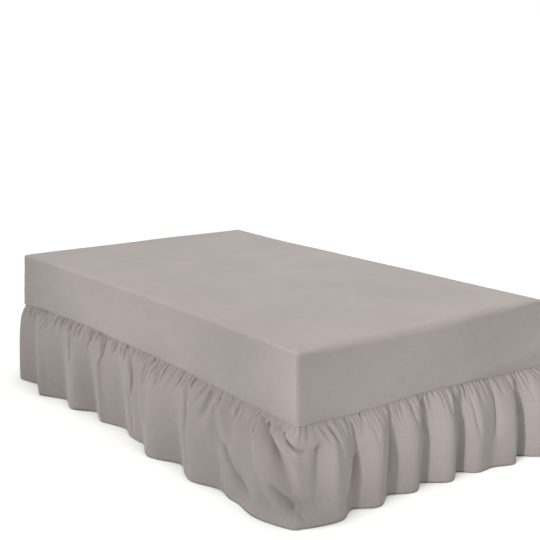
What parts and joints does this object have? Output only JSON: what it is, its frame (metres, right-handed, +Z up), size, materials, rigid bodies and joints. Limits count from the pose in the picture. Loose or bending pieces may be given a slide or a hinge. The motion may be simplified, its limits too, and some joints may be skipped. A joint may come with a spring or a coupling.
{
  "type": "bed skirt on a mattress and bed base",
  "caption": "Fitted bed skirt of plain cloth on a mattress and base: a smooth top with straight drops, and a gathered frill to the floor on both sides and the foot.",
  "frame": {"origin": "on the floor, under the middle of the outline of the whole object", "axes": "+Z up, +Y towards the head of the bed, the foot with its frill towards -Y, +X to the right seen from the foot"},
  "size_m": [1.4319, 2.1548, 0.591],
  "materials": {
    "taupe_percale": "plain woven cotton blend, matt",
    "white_ticking": "woven ticking, matt",
    "grey_base_cloth": "plain cloth over boards, matt",
    "black_plastic": "moulded, matt"
  },
  "bodies": {
    "root": {"fitted_cover": "taupe_percale", "frill": "taupe_percale", "mattress": "white_ticking", "bed_base": "grey_base_cloth", "foot_head_left": "black_plastic", "foot_head_right": "black_plastic", "foot_foot_left": "black_plastic", "foot_foot_right": "black_plastic"}
  },
  "joints": []
}
